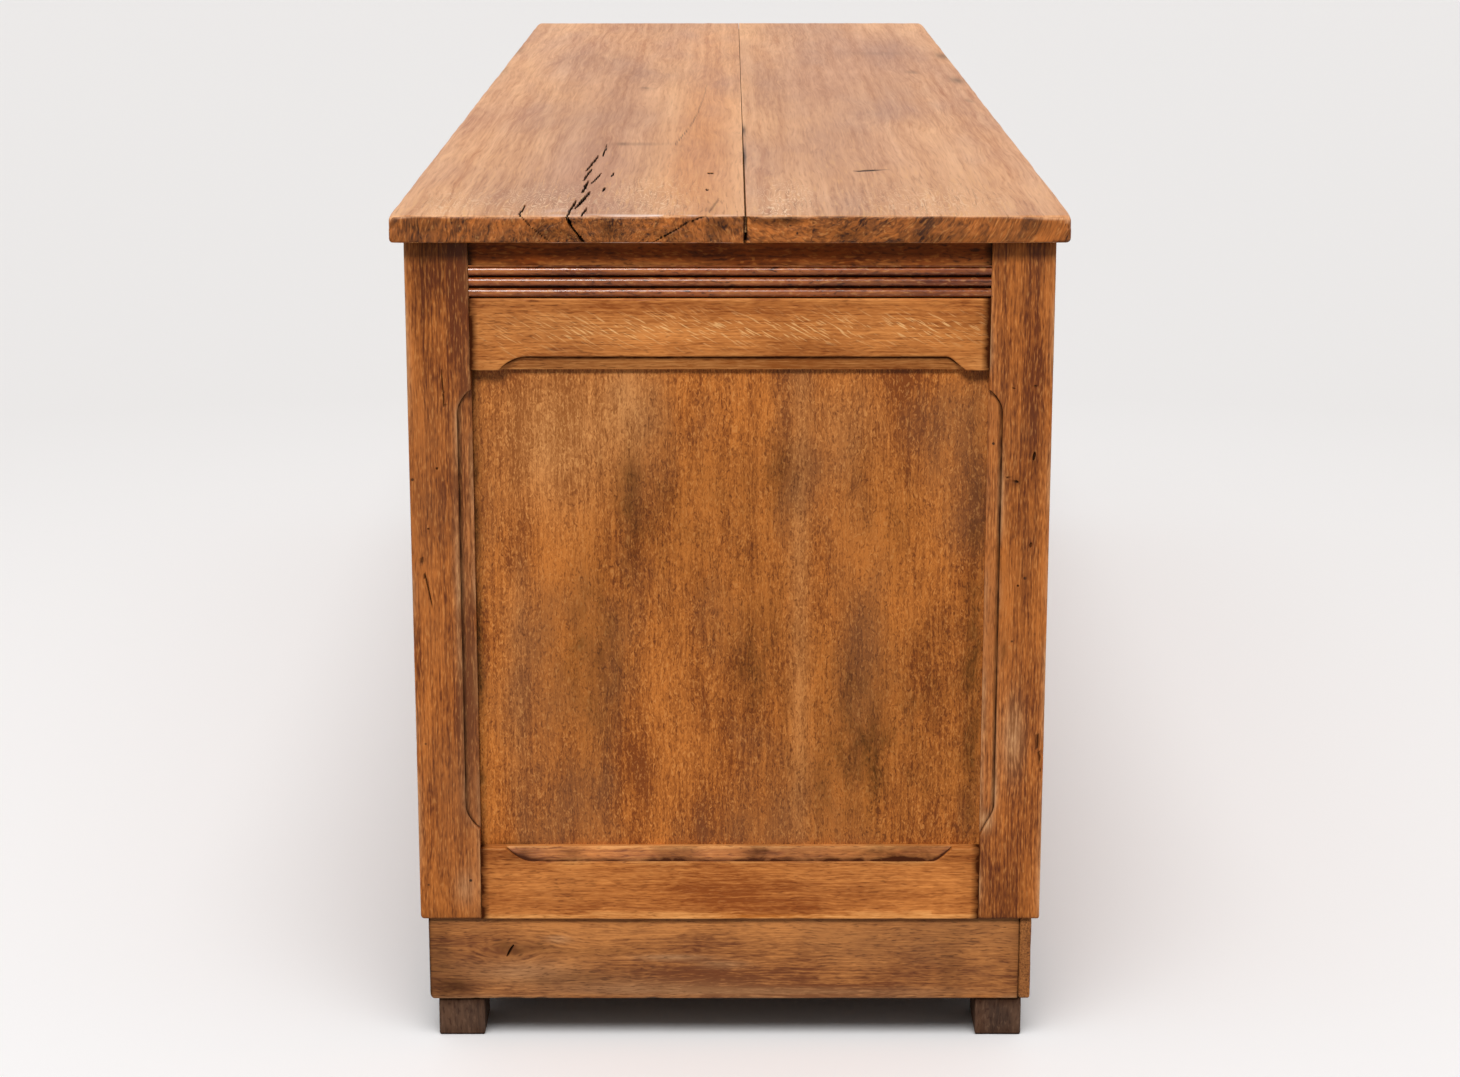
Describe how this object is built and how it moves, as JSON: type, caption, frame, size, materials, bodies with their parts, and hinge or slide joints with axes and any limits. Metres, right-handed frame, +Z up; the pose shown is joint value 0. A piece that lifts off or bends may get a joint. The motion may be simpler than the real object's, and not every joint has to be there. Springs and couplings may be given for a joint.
{
  "type": "workshop chest of drawers",
  "caption": "Long free-standing oak workshop chest with drawers along one side, panelled ends and back, a plank top, a plinth and block feet.",
  "frame": {"origin": "on the floor under the middle of the carcass", "axes": "+X along the chest, towards the right end as seen from the drawer side; +Y towards the back; +Z up"},
  "size_m": [2.4, 0.681, 0.867],
  "materials": {
    "top_oak": "worn waxed oak plank",
    "frame_oak": "waxed oak",
    "panel_oak": "waxed oak",
    "reeded_oak": "dark polished oak moulding",
    "plinth_oak": "waxed oak",
    "foot_oak": "bare dark oak",
    "inside_oak": "bare oak",
    "drawer_box_oak": "bare oak",
    "knob_oak": "turned and waxed oak"
  },
  "bodies": {
    "carcass": {"top_front_plank": "top_oak", "top_back_plank": "top_oak", "top_tongue": "inside_oak", "glue_blocks": "inside_oak", "left_front_post": "frame_oak", "left_back_post": "frame_oak", "right_front_post": "frame_oak", "right_back_post": "frame_oak", "frieze_boards": "frame_oak", "reeded_mouldings": "reeded_oak", "end_rails": "frame_oak", "end_panels": "panel_oak", "back_rails": "frame_oak", "back_muntins": "frame_oak", "back_panels": "panel_oak", "front_bottom_rail": "frame_oak", "partitions": "inside_oak", "drawer_rails": "frame_oak", "drawer_runners": "inside_oak", "drawer_stops": "inside_oak", "plinth_boards": "plinth_oak", "plinth_bearers": "inside_oak", "floor_boards": "inside_oak", "feet": "foot_oak"},
    "drawer_a1": {"drawer_a1_front": "frame_oak", "drawer_a1_box": "drawer_box_oak", "drawer_a1_knob": "knob_oak"},
    "drawer_a2": {"drawer_a2_front": "frame_oak", "drawer_a2_box": "drawer_box_oak", "drawer_a2_knob": "knob_oak"},
    "drawer_a3": {"drawer_a3_front": "frame_oak", "drawer_a3_box": "drawer_box_oak", "drawer_a3_knob": "knob_oak"},
    "drawer_b1": {"drawer_b1_front": "frame_oak", "drawer_b1_box": "drawer_box_oak", "drawer_b1_knob": "knob_oak"},
    "drawer_b2": {"drawer_b2_front": "frame_oak", "drawer_b2_box": "drawer_box_oak", "drawer_b2_knob": "knob_oak"},
    "drawer_b3": {"drawer_b3_front": "frame_oak", "drawer_b3_box": "drawer_box_oak", "drawer_b3_knob": "knob_oak"},
    "drawer_c1": {"drawer_c1_front": "frame_oak", "drawer_c1_box": "drawer_box_oak", "drawer_c1_knob": "knob_oak"},
    "drawer_c2": {"drawer_c2_front": "frame_oak", "drawer_c2_box": "drawer_box_oak", "drawer_c2_knob": "knob_oak"},
    "drawer_c3": {"drawer_c3_front": "frame_oak", "drawer_c3_box": "drawer_box_oak", "drawer_c3_knob": "knob_oak"},
    "drawer_d1": {"drawer_d1_front": "frame_oak", "drawer_d1_box": "drawer_box_oak", "drawer_d1_knob": "knob_oak"},
    "drawer_d2": {"drawer_d2_front": "frame_oak", "drawer_d2_box": "drawer_box_oak", "drawer_d2_knob": "knob_oak"},
    "drawer_d3": {"drawer_d3_front": "frame_oak", "drawer_d3_box": "drawer_box_oak", "drawer_d3_knob": "knob_oak"}
  },
  "joints": [
    {"name": "drawer_a1_slide", "type": "slide", "parent": "carcass", "child": "drawer_a1", "axis": [0, -1, 0], "range_m": [0, 0.42]},
    {"name": "drawer_a2_slide", "type": "slide", "parent": "carcass", "child": "drawer_a2", "axis": [0, -1, 0], "range_m": [0, 0.42]},
    {"name": "drawer_a3_slide", "type": "slide", "parent": "carcass", "child": "drawer_a3", "axis": [0, -1, 0], "range_m": [0, 0.42]},
    {"name": "drawer_b1_slide", "type": "slide", "parent": "carcass", "child": "drawer_b1", "axis": [0, -1, 0], "range_m": [0, 0.42]},
    {"name": "drawer_b2_slide", "type": "slide", "parent": "carcass", "child": "drawer_b2", "axis": [0, -1, 0], "range_m": [0, 0.42]},
    {"name": "drawer_b3_slide", "type": "slide", "parent": "carcass", "child": "drawer_b3", "axis": [0, -1, 0], "range_m": [0, 0.42]},
    {"name": "drawer_c1_slide", "type": "slide", "parent": "carcass", "child": "drawer_c1", "axis": [0, -1, 0], "range_m": [0, 0.42]},
    {"name": "drawer_c2_slide", "type": "slide", "parent": "carcass", "child": "drawer_c2", "axis": [0, -1, 0], "range_m": [0, 0.42]},
    {"name": "drawer_c3_slide", "type": "slide", "parent": "carcass", "child": "drawer_c3", "axis": [0, -1, 0], "range_m": [0, 0.42]},
    {"name": "drawer_d1_slide", "type": "slide", "parent": "carcass", "child": "drawer_d1", "axis": [0, -1, 0], "range_m": [0, 0.42]},
    {"name": "drawer_d2_slide", "type": "slide", "parent": "carcass", "child": "drawer_d2", "axis": [0, -1, 0], "range_m": [0, 0.42]},
    {"name": "drawer_d3_slide", "type": "slide", "parent": "carcass", "child": "drawer_d3", "axis": [0, -1, 0], "range_m": [0, 0.42]}
  ]
}
